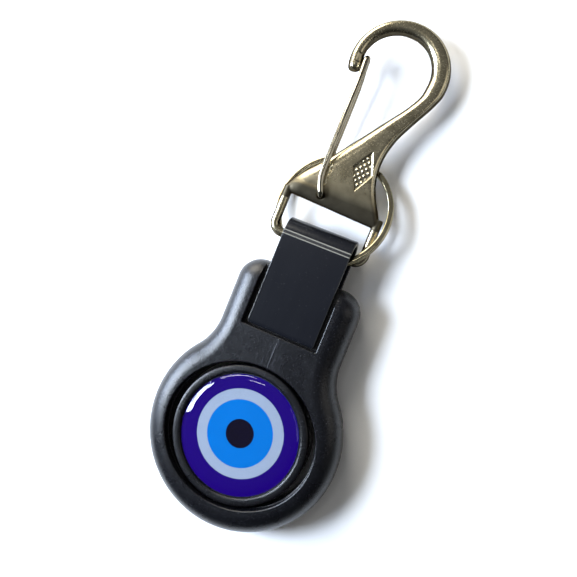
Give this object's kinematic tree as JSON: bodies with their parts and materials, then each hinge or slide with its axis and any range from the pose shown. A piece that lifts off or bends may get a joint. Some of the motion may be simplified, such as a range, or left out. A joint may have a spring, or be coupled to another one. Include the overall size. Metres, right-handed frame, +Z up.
{
  "type": "evil eye key fob",
  "caption": "Rounded plastic key fob with a turning domed eye medallion, folded clip, split ring and spring-gate snap hook.",
  "frame": {"origin": "on the table plane, under the centre of the fob's round end", "axes": "+Z up through the eye, +Y from the eye towards the hook, +X to the right"},
  "size_m": [0.0506, 0.1364, 0.011],
  "materials": {
    "shell": "fine satin grain, charcoal black",
    "medallion": "satin black",
    "print": "printed rings: navy, pale blue, azure, black",
    "dome": "clear gloss cast resin",
    "clip": "smooth semi-gloss blue-black",
    "nickel": "nickel plate over a casting, warm",
    "gate_steel": "nickel-plated spring wire",
    "ring_steel": "nickel-plated spring steel"
  },
  "bodies": {
    "fob": {"front_shell": "shell", "rear_shell": "shell", "strap_clip": "clip"},
    "spinner": {"medallion": "medallion", "front_print": "print", "rear_print": "print", "front_dome": "dome", "rear_dome": "dome"},
    "hook": {"hook_body": "nickel"},
    "gate": {"gate_wire": "gate_steel"},
    "ring": {"split_ring": "ring_steel"}
  },
  "joints": [
    {"name": "medallion_turn", "type": "hinge", "parent": "fob", "child": "spinner", "pos_m": [0, -0.0005, 0.0055], "axis": [0, 1, 0], "continuous": true},
    {"name": "hook_swing", "type": "hinge", "parent": "fob", "child": "hook", "pos_m": [0, 0.0482, 0.0055], "axis": [1, 0, 0], "range_deg": [-110, 110]},
    {"name": "gate_press", "type": "hinge", "parent": "hook", "child": "gate", "pos_m": [-0.00428, 0.0624, 0.00593], "axis": [-0.0993, 0, -0.9951], "range_deg": [0, 15], "stiffness_Nm_per_rad": 0.03, "springref_deg": -11.46},
    {"name": "ring_turn", "type": "hinge", "parent": "hook", "child": "ring", "pos_m": [-0.0003, 0.0605, 0.00385], "axis": [-0.1273, 0.153, 0.98], "continuous": true}
  ]
}
